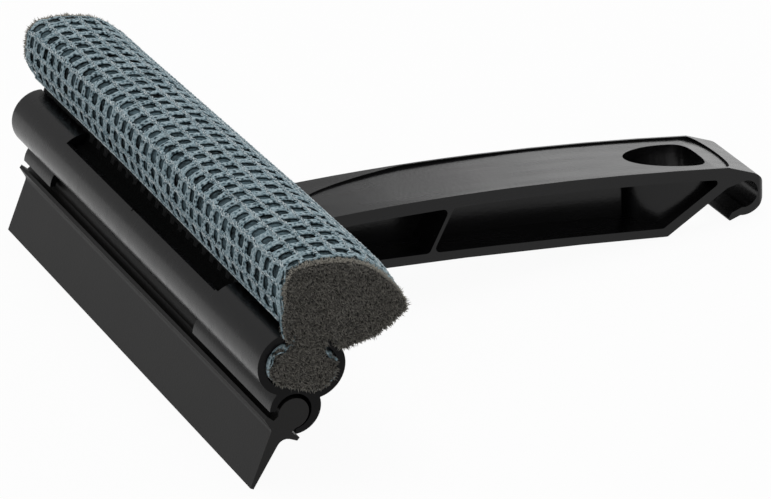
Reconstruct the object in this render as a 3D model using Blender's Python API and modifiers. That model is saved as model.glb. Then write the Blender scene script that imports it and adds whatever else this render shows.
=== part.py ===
"""Window squeegee with a netted foam scrubber: one moulding, a foam refill in its net, a rubber blade.

Metres, +Z up. X runs from the wiping edge to the hook, Y runs along the head. The squeegee stands as
it does on a table, on its rubber edge and on the tip of its hook, and the origin lies on the table
under the middle of that stance.
"""
from math import acos, asin, atan2, cos, degrees, pi, radians, sin, sqrt

import bmesh
import bpy
import numpy as np

OBJECT_NAME = "window_squeegee"

# Overall sizes
HEAD_LENGTH = 0.200
OVERALL_REACH = 0.2218
HANDLE_WIDTH = 0.0290

# Clearances and cutting allowances
FIT_GAP = 0.0003
CUT_OVERRUN = 0.0040
CORNER_LAP = 0.00005

# Rubber blade: a wedge under a bar with two barbs, a stem and a round bead
BLADE_LEAN = 60.4
BLADE_DEPTH = 0.0205
BLADE_ROOT_THICKNESS = 0.0046
BLADE_EDGE_THICKNESS = 0.0011
BLADE_ROOT_SHIFT = -0.0005
BLADE_ROOT_DEPTH = 0.0006
BLADE_FILLET = 0.0032
BARB_SPAN = 0.0137
BARB_SHIFT = 0.0004
BARB_THICKNESS = 0.0028
BARB_TIP_THICKNESS = 0.0012
BEAD_PLAY = 0.0009
BEAD_SAG = 0.0004
BEAD_SET_BACK = 0.0004
STEM_PLAY = 0.0006

# Blade channel: a round tube, open at its lower front, with a window in its front lip
BLADE_CHANNEL_RADIUS = 0.0082
BLADE_CHANNEL_WALL = 0.0024
BLADE_CAVITY_SHIFT = 0.0010
BLADE_BAR_ANGLE = 226.0
MOUTH_FRONT_ANGLE = 172.0
MOUTH_BACK_ANGLE = 268.0
WINDOW_TOP_ANGLE = 138.0
WINDOW_NEAR_Y = -0.0420
WINDOW_FAR_Y = 0.0765

# Scrubber channel: an oval tube above it, with a slot along its top and a cut-back front lip
CHANNEL_LAP = 0.0044
CHANNEL_SPACING_ANGLE = 78.3
FOAM_CHANNEL_RADIUS = 0.0099
FOAM_CHANNEL_SPREAD = 0.0088
FOAM_CHANNEL_WALL = 0.0025
FOAM_CHANNEL_TILT = 66.8
SLOT_WIDTH = 0.0126
SLOT_SHIFT = -0.0008
LIP_CUT_ANGLE = 119.0
LIP_CUT_LENGTH = 0.1200
LIP_CHAMFER_ANGLE = 7.0
LIP_CHAMFER_DEPTH = 0.0013
RELIEF_ANGLE = 123.0
RELIEF_WIDTH = 0.0032
LIP_NOTCH_ANGLE = 130.0
LIP_NOTCH_WIDTH = 0.0006
LIP_NOTCH_Y = 0.0040

# Foam scrubber: a neck through the slot and a lopsided crown
FOAM_HEIGHT = 0.0229
FOAM_FRONT_REACH = 0.0144
FOAM_BACK_REACH = 0.0262
FOAM_SEAT_RISE = 0.0012

# The crown from the front of the neck to the back: height share, and the share of the front reach
# (below zero) or of the back reach
CROWN_SHARES = (
    (0.02, -0.68), (0.16, -0.855), (0.445, -0.97), (0.67, -1.00), (0.80, -0.84), (0.895, -0.50),
    (0.965, -0.10), (1.00, 0.23), (0.95, 0.46), (0.82, 0.72), (0.67, 0.91), (0.545, 1.00),
    (0.435, 0.985), (0.22, 0.86), (0.045, 0.72), (-0.045, 0.57), (-0.03, 0.42), (0.01, 0.27),
)

# Net: a knitted sleeve with long gaps in brick order
NET_THICKNESS = 0.0006
NET_INSET = 0.0015
NET_GAPS_ROUND = 7
NET_GAPS_ALONG = 29
NET_STRAND_SHARE = 0.30

# Handle: two flanges on a web, a thin rib, and a strut that closes the end under the hook
TOP_FLANGE = 0.0042
BOTTOM_FLANGE = 0.0030
WEB_THICKNESS = 0.0024
RIB_THICKNESS = 0.0013
STRUT_THICKNESS = 0.0035
POCKET_FILLET = 0.0016
ROOT_SKIN = 0.0020
HANDLE_RISE = 0.0007
ROOT_DROP = 0.0022
BOTTOM_ROOT_DROP = 0.0004
HEEL_LIFT = 0.0003
HEEL_FROM_END = 0.0364
HEEL_FILLET = 0.0012
END_CORNER = 0.0030

# Control points of the handle's two long edges, as shares of its run from the scrubber channel to
# the hook's end and of its crest height above the table
TOP_EDGE_SHARES = ((0.1545, 1.000), (0.4227, 0.9705), (0.6914, 0.780), (0.9341, 0.527))
BOTTOM_EDGE_SHARES = ((0.2785, 0.431), (0.550, 0.255))
RIB_TOP_SHARE = 0.4440
RIB_FOOT_SHARE = 0.4050

# Thumb recess in the handle's top: an arch at the head end, a thin rim along both sides, and a bow
# ahead of the hook. Its places along the handle are shares of the run, its depths follow along it.
RECESS_RIM = 0.0007
RECESS_TIP_SHARE = 0.2239
RECESS_ARCH_SHARE = 0.4193
RECESS_BOW_SHARES = (0.9272, 0.9444, 0.9518)
RECESS_STATION_SHARES = (0.2239, 0.42, 0.65, 0.9153, 0.9518)
RECESS_DEPTHS = (0.0005, 0.0010, 0.0006, 0.0007, 0.0006)

# Hook
HOOK_INNER_RADIUS = 0.0047
HOOK_WALL = 0.0028
HOOK_ARM_LENGTH = 0.0054
HOOK_ARM_SLOPE = 15.0
HOOK_START_ANGLE = 66.0
HOOK_TOP_ANGLE = 98.5
HOOK_TIP_FILLET = 0.0006
MOUTH_REACH = 0.0019
MOUTH_DROP = 0.0010
MOUTH_FILLET = 0.0014

# Hanging hole: a blunt teardrop that runs down through the handle inside its own wall
HOLE_START_FROM_END = 0.0442
HOLE_WIDEST_FROM_END = 0.0243
HOLE_END_FROM_END = 0.0172
HOLE_WIDTH = 0.0188
HOLE_WALL = 0.0020

# Steps of the curves
ARC_STEPS = 24
EDGE_STEPS = 16
SMOOTH_ANGLE = 35.0

# Colours (linear), roughness
PLASTIC_COLOUR = (0.028, 0.028, 0.030, 1.0)
FOAM_COLOUR = (0.075, 0.070, 0.062, 1.0)
NET_COLOUR = (0.190, 0.285, 0.330, 1.0)
RUBBER_COLOUR = (0.022, 0.022, 0.022, 1.0)
PLASTIC_ROUGHNESS = 0.42
FOAM_ROUGHNESS = 0.95
NET_ROUGHNESS = 0.80
RUBBER_ROUGHNESS = 0.60


def polar(centre, radius, angle):
    """Point at a distance and an angle in degrees from a centre, in the side view."""
    turn = radians(angle)
    return (centre[0] + radius * cos(turn), centre[1] + radius * sin(turn))


def arc(centre, radius, start, end, steps=ARC_STEPS):
    """Points along a circular arc, angles in degrees."""
    return [polar(centre, radius, start + (end - start) * i / steps) for i in range(steps + 1)]


def bezier(points, steps=EDGE_STEPS):
    """Points along a cubic curve with four control points."""
    share = np.linspace(0.0, 1.0, steps + 1)[:, None]
    rest = 1.0 - share
    p0, p1, p2, p3 = (np.array(p) for p in points)
    line = rest ** 3 * p0 + 3 * rest ** 2 * share * p1 + 3 * rest * share ** 2 * p2 + share ** 3 * p3
    return [tuple(p) for p in line]


def smooth_line(points):
    """A smooth open curve through a few points."""
    given = np.array(points)
    ends = np.vstack([2 * given[0] - given[1], given, 2 * given[-1] - given[-2]])
    share = np.linspace(0.0, 1.0, EDGE_STEPS, endpoint=False)[:, None]
    pieces = []
    for a, b, c, d in zip(ends[:-3], ends[1:-2], ends[2:-1], ends[3:]):
        pieces.append(b + (c - a) / 2 * share + (a - 2.5 * b + 2 * c - d / 2) * share ** 2
                      + (1.5 * (b - c) + (d - a) / 2) * share ** 3)
    return np.vstack(pieces + [given[-1:]])


def resample(line, shares):
    """Points at the given shares of a line's length."""
    line = np.array(line)
    run = np.concatenate([[0.0], np.cumsum(np.linalg.norm(np.diff(line, axis=0), axis=1))])
    at = np.array(shares) * run[-1]
    return np.column_stack([np.interp(at, run, line[:, 0]), np.interp(at, run, line[:, 1])])


def offset_line(line, distance):
    """A line moved sideways to its left by a distance, with mitred corners."""
    line = np.array(line)
    along = np.diff(line, axis=0)
    along /= np.linalg.norm(along, axis=1)[:, None]
    side = np.column_stack([-along[:, 1], along[:, 0]])
    before = np.vstack([side[:1], side])
    after = np.vstack([side, side[-1:]])
    middle = before + after
    return line + distance * 2 * middle / np.sum(middle * middle, axis=1)[:, None]


def rounded(corners, steps=4):
    """A closed outline whose corners (x, z, radius) are turned into arcs."""
    outline = []
    count = len(corners)
    for i, (x, z, radius) in enumerate(corners):
        if radius == 0:
            outline.append((x, z))
            continue
        here = np.array((x, z))
        back = np.array(corners[i - 1][:2]) - here
        ahead = np.array(corners[(i + 1) % count][:2]) - here
        back_length, ahead_length = np.linalg.norm(back), np.linalg.norm(ahead)
        back, ahead = back / back_length, ahead / ahead_length
        half = acos(max(-1.0, min(1.0, float(back @ ahead)))) / 2
        leg = min(radius / np.tan(half), back_length / 2, ahead_length / 2)
        start, end = here + leg * back, here + leg * ahead
        centre = here + (back + ahead) / np.linalg.norm(back + ahead) * leg / cos(half)
        reach = leg * np.tan(half)
        first = atan2(*(start - centre)[::-1])
        turn = (atan2(*(end - centre)[::-1]) - first + pi) % (2 * pi) - pi
        for k in range(steps + 1):
            angle = first + turn * k / steps
            outline.append((centre[0] + reach * cos(angle), centre[1] + reach * sin(angle)))
    return outline


def corner_list(points, radius=0):
    """Plain points as corners for a rounded outline."""
    return [(x, z, radius) for x, z in points]


# Collections and the parent that carries the pieces
for old in list(bpy.data.objects):
    bpy.data.objects.remove(old, do_unlink=True)

part_collection = bpy.data.collections.new(OBJECT_NAME)
cutter_collection = bpy.data.collections.new("cutters")
bpy.context.scene.collection.children.link(part_collection)
bpy.context.scene.collection.children.link(cutter_collection)

stance = bpy.data.objects.new("stance_centre", None)
stance.location = (-OVERALL_REACH / 2, 0.0, 0.0)
part_collection.objects.link(stance)


def finish(name, colour, metallic, roughness):
    """A plain material with a colour and a roughness."""
    material = bpy.data.materials.new(name)
    material.use_nodes = True
    shader = material.node_tree.nodes["Principled BSDF"]
    shader.inputs["Base Color"].default_value = colour
    shader.inputs["Metallic"].default_value = metallic
    shader.inputs["Roughness"].default_value = roughness
    return material


def mesh_object(name, mesh, location, material=None):
    """A mesh as a piece, when it has a material, or else as a cutter."""
    made = bpy.data.objects.new(name, mesh)
    made.location = location
    made.parent = stance
    if material is None:
        cutter_collection.objects.link(made)
        made.hide_render = True
        made.display_type = 'WIRE'
    else:
        mesh.materials.append(material)
        part_collection.objects.link(made)
    return made


def prism(name, outline, low, high, origin=(0.0, 0.0), plan=False, material=None):
    """A flat outline given a thickness: side views reach along Y from low to high, plans along Z."""
    curve = bpy.data.curves.new(name + "_outline", 'CURVE')
    curve.dimensions = '2D'
    curve.fill_mode = 'BOTH'
    curve.extrude = (high - low) / 2
    spline = curve.splines.new('POLY')
    spline.points.add(len(outline) - 1)
    for point, (x, z) in zip(spline.points, outline):
        point.co = (x - origin[0], z - origin[1], 0.0, 1.0)
    spline.use_cyclic_u = True
    drawn = bpy.data.objects.new(name + "_outline", curve)
    drawn.rotation_euler = (0.0, 0.0, 0.0) if plan else (pi / 2, 0.0, 0.0)
    middle = (low + high) / 2
    drawn.location = (0.0, 0.0, middle) if plan else (0.0, middle, 0.0)
    bpy.context.scene.collection.objects.link(drawn)
    bpy.context.view_layer.update()
    shape = drawn.evaluated_get(bpy.context.evaluated_depsgraph_get())
    mesh = bpy.data.meshes.new_from_object(shape)
    mesh.transform(drawn.matrix_world)
    mesh.name = name
    welded = bmesh.new()
    welded.from_mesh(mesh)
    bmesh.ops.remove_doubles(welded, verts=welded.verts, dist=CUT_OVERRUN / 1000)
    bmesh.ops.recalc_face_normals(welded, faces=welded.faces)
    welded.to_mesh(mesh)
    welded.free()
    bpy.data.objects.remove(drawn, do_unlink=True)
    place = (origin[0], origin[1], 0.0) if plan else (origin[0], 0.0, origin[1])
    return mesh_object(name, mesh, place, material)


def boolean(target, tool, operation):
    """Cut a piece with another, join it or keep what they share."""
    step = target.modifiers.new(tool.name, 'BOOLEAN')
    step.operation = operation
    step.solver = 'EXACT'
    step.object = tool


def shade(piece):
    """Smooth shading that keeps the edges sharper than the smoothing angle."""
    piece.data.shade_smooth()
    piece.data.set_sharp_from_angle(angle=radians(SMOOTH_ANGLE))


plastic = finish("black_plastic", PLASTIC_COLOUR, 0.0, PLASTIC_ROUGHNESS)
foam_finish = finish("grey_foam", FOAM_COLOUR, 0.0, FOAM_ROUGHNESS)
net_finish = finish("blue_grey_yarn", NET_COLOUR, 0.0, NET_ROUGHNESS)
rubber = finish("black_rubber", RUBBER_COLOUR, 0.0, RUBBER_ROUGHNESS)


# Places of the two channels, found from the wiping edge upwards. The blade leans on its back corner.
half_edge = BLADE_EDGE_THICKNESS / 2
lean = radians(BLADE_LEAN)
blade_up = np.array((cos(lean), sin(lean)))
blade_back = np.array((sin(lean), -cos(lean)))
edge_middle = half_edge * np.array((sin(lean), cos(lean)))

out_of_mouth = np.array(polar((0.0, 0.0), 1.0, BLADE_BAR_ANGLE))
mouth_back = np.array(polar((0.0, 0.0), 1.0, BLADE_BAR_ANGLE + 90.0))
back_lip_turn = radians(MOUTH_BACK_ANGLE - BLADE_BAR_ANGLE)
bar_top = BLADE_CHANNEL_RADIUS * cos(back_lip_turn) + FIT_GAP
bar_bottom = bar_top + BARB_THICKNESS
root_reach = bar_top + BLADE_ROOT_DEPTH

root_middle = edge_middle + BLADE_DEPTH * blade_up
blade_channel = root_middle - root_reach * out_of_mouth - BLADE_ROOT_SHIFT * mouth_back
channel_spacing = FOAM_CHANNEL_RADIUS + BLADE_CHANNEL_RADIUS - CHANNEL_LAP
foam_channel = np.array(polar(blade_channel, channel_spacing, CHANNEL_SPACING_ANGLE))

slot_up = np.array(polar((0.0, 0.0), 1.0, FOAM_CHANNEL_TILT))
slot_back = np.array(polar((0.0, 0.0), 1.0, FOAM_CHANNEL_TILT - 90.0))
half_spread = FOAM_CHANNEL_SPREAD / 2
front_centre = foam_channel - half_spread * slot_back
back_centre = foam_channel + half_spread * slot_back
foam_cavity_radius = FOAM_CHANNEL_RADIUS - FOAM_CHANNEL_WALL
blade_cavity_radius = BLADE_CHANNEL_RADIUS - BLADE_CHANNEL_WALL
blade_cavity = blade_channel + BLADE_CAVITY_SHIFT * out_of_mouth
half_length = HEAD_LENGTH / 2


def oval(radius):
    """Outline of an oval as wide as the scrubber channel's spread plus the radius all round."""
    turn = FOAM_CHANNEL_TILT
    return (arc(front_centre, radius, turn, turn + 180.0) + arc(back_centre, radius, turn + 180.0, turn + 360.0))


def wedge(centre, radius, start, end):
    """A sector with its point at the centre of a channel, for cutting a stretch out of its wall."""
    return [tuple(centre)] + arc(centre, radius, start, end)


def in_channel(up, back):
    """A place given up along the slot's direction and back across it, in the side view."""
    return tuple(foam_channel + up * slot_up + back * slot_back)


# Moulding: channels

moulding = prism("handle_and_channels", oval(FOAM_CHANNEL_RADIUS), -half_length, half_length, material=plastic)
blade_tube = prism("blade_channel_tube", arc(blade_channel, BLADE_CHANNEL_RADIUS, 0.0, 360.0, 2 * ARC_STEPS)[:-1],
                   -half_length, half_length)
boolean(moulding, blade_tube, 'UNION')


# Moulding: handle outline

crest_z = foam_channel[1] + HANDLE_RISE
run_x = OVERALL_REACH - foam_channel[0]
hook_radius = HOOK_INNER_RADIUS + HOOK_WALL
arm_slope = radians(HOOK_ARM_SLOPE)
hook_centre = (OVERALL_REACH - hook_radius, hook_radius * cos(arm_slope) + HOOK_ARM_LENGTH * sin(arm_slope))


def on_run(share, height_share):
    """A place given as shares of the handle's run and of its crest height."""
    return (foam_channel[0] + share * run_x, height_share * crest_z)


top_controls = [on_run(*share) for share in TOP_EDGE_SHARES]
root_top = (foam_channel[0], foam_channel[1] - ROOT_DROP)
root_bend = ((root_top[0] + 2 * top_controls[0][0]) / 3, crest_z)
root_edge = bezier((root_top, ((2 * root_top[0] + top_controls[0][0]) / 3, root_top[1]), root_bend, top_controls[0]))
long_edge = bezier(top_controls)
hook_start = polar(hook_centre, hook_radius, HOOK_START_ANGLE)
top_line = np.array(root_edge[:-1] + long_edge + [hook_start])

root_bottom = (blade_channel[0], blade_channel[1] - BOTTOM_ROOT_DROP)
heel = (OVERALL_REACH - HEEL_FROM_END, HEEL_LIFT)
bottom_line = np.array(bezier((root_bottom, on_run(*BOTTOM_EDGE_SHARES[0]), on_run(*BOTTOM_EDGE_SHARES[1]), heel)))

arm_end_angle = 270.0 - HOOK_ARM_SLOPE
arm_direction = np.array((-cos(arm_slope), -sin(arm_slope)))
arm_start = np.array(polar(hook_centre, hook_radius, arm_end_angle))
arm_tip = arm_start + HOOK_ARM_LENGTH * arm_direction
arm_inner_start = np.array(polar(hook_centre, HOOK_INNER_RADIUS, arm_end_angle))
arm_inner_tip = arm_inner_start + (HOOK_ARM_LENGTH - HOOK_WALL / 2) * arm_direction
mouth_corner = (hook_centre[0] - HOOK_INNER_RADIUS - MOUTH_REACH, hook_centre[1] + HOOK_INNER_RADIUS - MOUTH_DROP)

handle_corners = (
    corner_list(top_line)
    + corner_list(arc(hook_centre, hook_radius, HOOK_START_ANGLE, arm_end_angle - 360.0)[1:])
    + [(*arm_tip, HOOK_TIP_FILLET), (*arm_inner_tip, HOOK_TIP_FILLET)]
    + corner_list(arc(hook_centre, HOOK_INNER_RADIUS, arm_end_angle - 360.0, HOOK_TOP_ANGLE))
    + [(*mouth_corner, MOUTH_FILLET), (*heel, HEEL_FILLET)]
    + corner_list(bottom_line[::-1][1:])
)
half_width = HANDLE_WIDTH / 2
handle_block = prism("handle_block", rounded(handle_corners), -half_width, half_width)

for sign in (-1, 1):
    corner_middle = (OVERALL_REACH - END_CORNER + CORNER_LAP, sign * (half_width - END_CORNER + CORNER_LAP))
    beyond = (OVERALL_REACH + CUT_OVERRUN, sign * (half_width + CUT_OVERRUN))
    corner = prism("end_corner", arc(corner_middle, END_CORNER, 0.0, sign * 90.0)
                   + [(corner_middle[0], beyond[1]), beyond, (beyond[0], corner_middle[1])],
                   -CUT_OVERRUN, crest_z + CUT_OVERRUN, plan=True)
    boolean(handle_block, corner, 'DIFFERENCE')
boolean(moulding, handle_block, 'UNION')


# Moulding: side pockets, which leave a web on the middle plane and the wall of the hanging hole

def top_z(x):
    """Height of the handle's top edge."""
    return float(np.interp(x, top_line[:, 0], top_line[:, 1]))


def bottom_z(x):
    """Height of the handle's bottom edge."""
    return float(np.interp(x, bottom_line[:, 0], bottom_line[:, 1]))


def pocket_edges(top_start, top_end, foot_start, foot_end):
    """Corners of a pocket between the flanges, from its lower head end round to its upper head end."""
    lower = [(x, bottom_z(x) + BOTTOM_FLANGE, 0) for x in np.linspace(foot_start, foot_end, EDGE_STEPS)]
    upper = [(x, top_z(x) - TOP_FLANGE, 0) for x in np.linspace(top_end, top_start, EDGE_STEPS)]
    corners = lower + upper
    for i in (0, EDGE_STEPS - 1, EDGE_STEPS, 2 * EDGE_STEPS - 1):
        corners[i] = (*corners[i][:2], POCKET_FILLET)
    return rounded(corners)


pocket_start = back_centre[0] + FOAM_CHANNEL_RADIUS + ROOT_SKIN
rib_top = foam_channel[0] + RIB_TOP_SHARE * run_x
rib_foot = foam_channel[0] + RIB_FOOT_SHARE * run_x
half_rib = RIB_THICKNESS / 2

strut_run = np.array(mouth_corner) - np.array(heel)
strut_run /= np.linalg.norm(strut_run)
strut_inner = np.array(heel) + STRUT_THICKNESS * np.array((-strut_run[1], strut_run[0]))


def strut_z(x):
    """Height of the strut's upper face."""
    return strut_inner[1] + (x - strut_inner[0]) * strut_run[1] / strut_run[0]


tries = np.linspace(heel[0] - STRUT_THICKNESS, hook_centre[0], 400)
foot_gap = np.array([strut_z(x) - bottom_z(x) - BOTTOM_FLANGE for x in tries])
head_gap = np.array([top_z(x) - TOP_FLANGE - strut_z(x) for x in tries])
pocket_toe = float(tries[np.argmax(foot_gap > 0)])
pocket_peak = float(tries[np.argmax(head_gap < 0)])

head_pocket = pocket_edges(pocket_start, rib_top - half_rib, pocket_start, rib_foot - half_rib)
long_pocket = pocket_edges(rib_top + half_rib, pocket_peak, rib_foot + half_rib, pocket_toe)


def teardrop(grow):
    """Plan of the hanging hole, made larger all round by an amount."""
    start, end = OVERALL_REACH - HOLE_START_FROM_END - grow, OVERALL_REACH - HOLE_END_FROM_END + grow
    widest = OVERALL_REACH - HOLE_WIDEST_FROM_END
    half = HOLE_WIDTH / 2 + grow
    nose = (widest - start) / 2
    heel_leg = (end - widest) * 0.80
    side = (bezier(((start, 0.0), (start, half * 0.58), (widest - nose, half), (widest, half)))[:-1]
            + bezier(((widest, half), (widest + heel_leg, half), (end, half * 0.80), (end, 0.0))))
    return side + [(x, -y) for x, y in side[-2:0:-1]]


def recess_plan():
    """Plan of the thumb recess: a parabola as its arch, straight sides and a bow at the hook end."""
    half = half_width - RECESS_RIM
    tip, arch, bow_start, bow_bend, bow_end = (
        on_run(share, 0.0)[0] for share in (RECESS_TIP_SHARE, RECESS_ARCH_SHARE, *RECESS_BOW_SHARES))
    side = (bezier(((tip, 0.0), (tip, half / 3), ((2 * tip + arch) / 3, 2 * half / 3), (arch, half)))
            + bezier(((bow_start, half), (bow_bend, half), (bow_end, half / 2), (bow_end, 0.0))))
    return side + [(x, -y) for x, y in side[-2:0:-1]]


def recess_floor():
    """Side view of the recess: the handle's top edge lowered by its depths, and open above. The last stretch
    is straight, so that the floor runs on under the fall of the handle's end."""
    stations = [on_run(share, 0.0)[0] for share in RECESS_STATION_SHARES]
    places = [*np.linspace(stations[0], stations[-2], 2 * EDGE_STEPS), stations[-1]]
    floor = [(x, top_z(x) - float(np.interp(x, stations, RECESS_DEPTHS))) for x in places]
    before, after = np.array(floor[0]) - np.array(floor[1]), np.array(floor[-1]) - np.array(floor[-2])
    start = np.array(floor[0]) + before / np.linalg.norm(before) * CUT_OVERRUN
    end = np.array(floor[-1]) + after / np.linalg.norm(after) * CUT_OVERRUN
    above = crest_z + CUT_OVERRUN
    return [tuple(start), *floor, tuple(end), (end[0], above), (start[0], above)]


half_web = WEB_THICKNESS / 2
hole_wall = prism("hanging_hole_wall", teardrop(HOLE_WALL), -CUT_OVERRUN, crest_z, plan=True)
for side_name, near_y, far_y in (("near", -half_width - CUT_OVERRUN, -half_web),
                                 ("far", half_web, half_width + CUT_OVERRUN)):
    for pocket_name, outline in (("head_pocket", head_pocket), ("long_pocket", long_pocket)):
        pocket = prism(side_name + "_" + pocket_name, outline, near_y, far_y)
        if outline is long_pocket:
            boolean(pocket, hole_wall, 'DIFFERENCE')
        boolean(moulding, pocket, 'DIFFERENCE')

recess = prism("thumb_recess", recess_floor(), -half_width, half_width)
recess_rim = prism("thumb_recess_plan", recess_plan(), -CUT_OVERRUN, crest_z + 2 * CUT_OVERRUN, plan=True)
boolean(recess, recess_rim, 'INTERSECT')
boolean(moulding, recess, 'DIFFERENCE')

hanging_hole = prism("hanging_hole", teardrop(0.0), -CUT_OVERRUN, crest_z + CUT_OVERRUN, plan=True)
boolean(moulding, hanging_hole, 'DIFFERENCE')


# Moulding: the hollows, the slot and the cuts in the lips

cut_half = half_length + CUT_OVERRUN
foam_cavity = prism("foam_cavity", oval(foam_cavity_radius), -cut_half, cut_half)
half_slot = SLOT_WIDTH / 2
slot_reach = FOAM_CHANNEL_RADIUS + CUT_OVERRUN
slot = prism("foam_slot", [
    in_channel(0.0, SLOT_SHIFT - half_slot), in_channel(0.0, SLOT_SHIFT + half_slot),
    in_channel(slot_reach, SLOT_SHIFT + half_slot), in_channel(slot_reach, SLOT_SHIFT - half_slot),
], -cut_half, cut_half)
blade_bore = prism("blade_cavity", arc(blade_cavity, blade_cavity_radius, 0.0, 360.0, 2 * ARC_STEPS)[:-1],
                   -cut_half, cut_half)
mouth_reach = BLADE_CHANNEL_RADIUS + CUT_OVERRUN
mouth = prism("blade_mouth", wedge(blade_channel, mouth_reach, MOUTH_FRONT_ANGLE, MOUTH_BACK_ANGLE), -cut_half, cut_half)
window = prism("lip_window", wedge(blade_channel, BLADE_CHANNEL_RADIUS + FIT_GAP, WINDOW_TOP_ANGLE,
                                   (MOUTH_FRONT_ANGLE + BLADE_BAR_ANGLE) / 2), WINDOW_NEAR_Y, WINDOW_FAR_Y)
half_cut = LIP_CUT_LENGTH / 2
lip_reach = FOAM_CHANNEL_RADIUS + CUT_OVERRUN
lip_cut = prism("front_lip_cut", wedge(front_centre, lip_reach, FOAM_CHANNEL_TILT, LIP_CUT_ANGLE), -half_cut, half_cut)
relief = prism("front_lip_relief", wedge(front_centre, lip_reach, FOAM_CHANNEL_TILT, RELIEF_ANGLE),
               -half_cut - RELIEF_WIDTH / 2, -half_cut + RELIEF_WIDTH / 2)
lip_notch = prism("front_lip_notch", wedge(front_centre, lip_reach, FOAM_CHANNEL_TILT, LIP_NOTCH_ANGLE),
                  LIP_NOTCH_Y - LIP_NOTCH_WIDTH / 2, LIP_NOTCH_Y + LIP_NOTCH_WIDTH / 2)
chamfer_top = np.array(polar(front_centre, FOAM_CHANNEL_RADIUS, LIP_CUT_ANGLE + LIP_CHAMFER_ANGLE))
chamfer_foot = np.array(polar(front_centre, FOAM_CHANNEL_RADIUS - LIP_CHAMFER_DEPTH, LIP_CUT_ANGLE))
chamfer_run = chamfer_foot - chamfer_top
lip_chamfer = prism("front_lip_chamfer", [
    tuple(chamfer_top - chamfer_run), tuple(chamfer_foot + chamfer_run),
    polar(front_centre, lip_reach, LIP_CUT_ANGLE - 2 * LIP_CHAMFER_ANGLE),
    polar(front_centre, lip_reach, LIP_CUT_ANGLE + LIP_CHAMFER_ANGLE),
], -half_cut, half_cut)
for cutter in (foam_cavity, slot, blade_bore, mouth, window, lip_cut, lip_chamfer, relief, lip_notch):
    boolean(moulding, cutter, 'DIFFERENCE')
shade(moulding)


# Foam scrubber: bead in the channel, neck in the slot, crown above

layer = NET_THICKNESS + 2 * FIT_GAP
half_neck = half_slot - layer
lip_top = sqrt(FOAM_CHANNEL_RADIUS ** 2 - (half_slot + abs(SLOT_SHIFT) - half_spread) ** 2)
seat = lip_top + layer + FOAM_SEAT_RISE - FIT_GAP
bead_radius = foam_cavity_radius - layer


def crown_point(height_share, reach_share):
    """A place on the crown from its height share and its share of the front or back reach."""
    reach = FOAM_FRONT_REACH if reach_share < 0 else FOAM_BACK_REACH
    return in_channel(seat + height_share * FOAM_HEIGHT, reach_share * reach)


def bead_top(back):
    """Height of the bead's surface at a distance back from the channel's centre."""
    return sqrt(bead_radius ** 2 - max(0.0, abs(back) - half_spread) ** 2)


def angle_at(centre, point):
    """Angle in degrees of a point seen from a centre."""
    return degrees(atan2(point[1] - centre[1], point[0] - centre[0]))


neck_front = SLOT_SHIFT - half_neck
neck_back = SLOT_SHIFT + half_neck
front_root = in_channel(bead_top(neck_front), neck_front)
back_root = in_channel(bead_top(neck_back), neck_back)
bead_line = (arc(front_centre, bead_radius, angle_at(front_centre, front_root), FOAM_CHANNEL_TILT + 180.0)
             + arc(back_centre, bead_radius, FOAM_CHANNEL_TILT + 180.0, angle_at(back_centre, back_root) + 360.0))

# The crown has one station for each column of the net's knots and gaps, so that the two lie flat together
net_columns = 4 * NET_GAPS_ROUND
column_shares = [0.0]
for column in range(net_columns):
    width_share = NET_STRAND_SHARE if column % 2 == 0 else 1.0 - NET_STRAND_SHARE
    column_shares.append(column_shares[-1] + 2 * width_share / net_columns)
crown_ends = (in_channel(seat, neck_front), in_channel(seat, neck_back))
crown_curve = smooth_line([crown_ends[0]] + [crown_point(*share) for share in CROWN_SHARES] + [crown_ends[1]])
crown = resample(crown_curve, column_shares)

foam_origin = tuple(foam_channel)
foam = prism("foam_scrubber", bead_line + [tuple(point) for point in crown[::-1]], -half_length, half_length,
             origin=foam_origin, material=foam_finish)
shade(foam)


# Net: a flat knitted sheet with gaps in brick order, bent round the crown and tucked into the slot

tuck_front = in_channel(bead_top(neck_front) + layer, neck_front)
tuck_back = in_channel(bead_top(neck_back) + layer, neck_back)
net_line = offset_line([tuck_front, *crown, tuck_back], FIT_GAP) - foam_channel
net_length = HEAD_LENGTH - 2 * NET_INSET
row_pitch = net_length / (NET_GAPS_ALONG + NET_STRAND_SHARE)
row_places = [-net_length / 2]
for row in range(2 * NET_GAPS_ALONG + 1):
    width_share = NET_STRAND_SHARE if row % 2 == 0 else 1.0 - NET_STRAND_SHARE
    row_places.append(row_places[-1] + width_share * row_pitch)

sheet = bmesh.new()
bmesh.ops.create_grid(sheet, x_segments=len(net_line) - 1, y_segments=len(row_places) - 1, size=half_length)


def grid_index(place, count):
    """Number of the grid line that a place on the flat sheet lies on."""
    return round((place / HEAD_LENGTH + 1 / 2) * (count - 1))


def is_gap(face):
    """Whether a face of the flat sheet is part of a gap: each second row is moved by half a gap."""
    middle = face.calc_center_median()
    column = int((middle.x / HEAD_LENGTH + 1 / 2) * (len(net_line) - 1)) - 1
    row = int((middle.y / HEAD_LENGTH + 1 / 2) * (len(row_places) - 1))
    strand_column = 0 if row % 4 == 1 else 2
    return row % 2 == 1 and 0 <= column < net_columns and column % 4 != strand_column


bmesh.ops.delete(sheet, geom=[face for face in sheet.faces if is_gap(face)], context='FACES')
for vertex in sheet.verts:
    x, z = net_line[grid_index(vertex.co.x, len(net_line))]
    y = row_places[grid_index(vertex.co.y, len(row_places))]
    vertex.co = (x, y, z)
net_mesh = bpy.data.meshes.new("net_cover")
sheet.to_mesh(net_mesh)
sheet.free()
net = mesh_object("net_cover", net_mesh, (foam_origin[0], 0.0, foam_origin[1]), net_finish)
knit = net.modifiers.new("yarn_thickness", 'SOLIDIFY')
knit.thickness = NET_THICKNESS
knit.offset = 1.0
knit.use_even_offset = True
shade(net)


# Rubber blade: bead and stem in the channel, barbs over its lips, wedge down to the wiping edge

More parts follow.
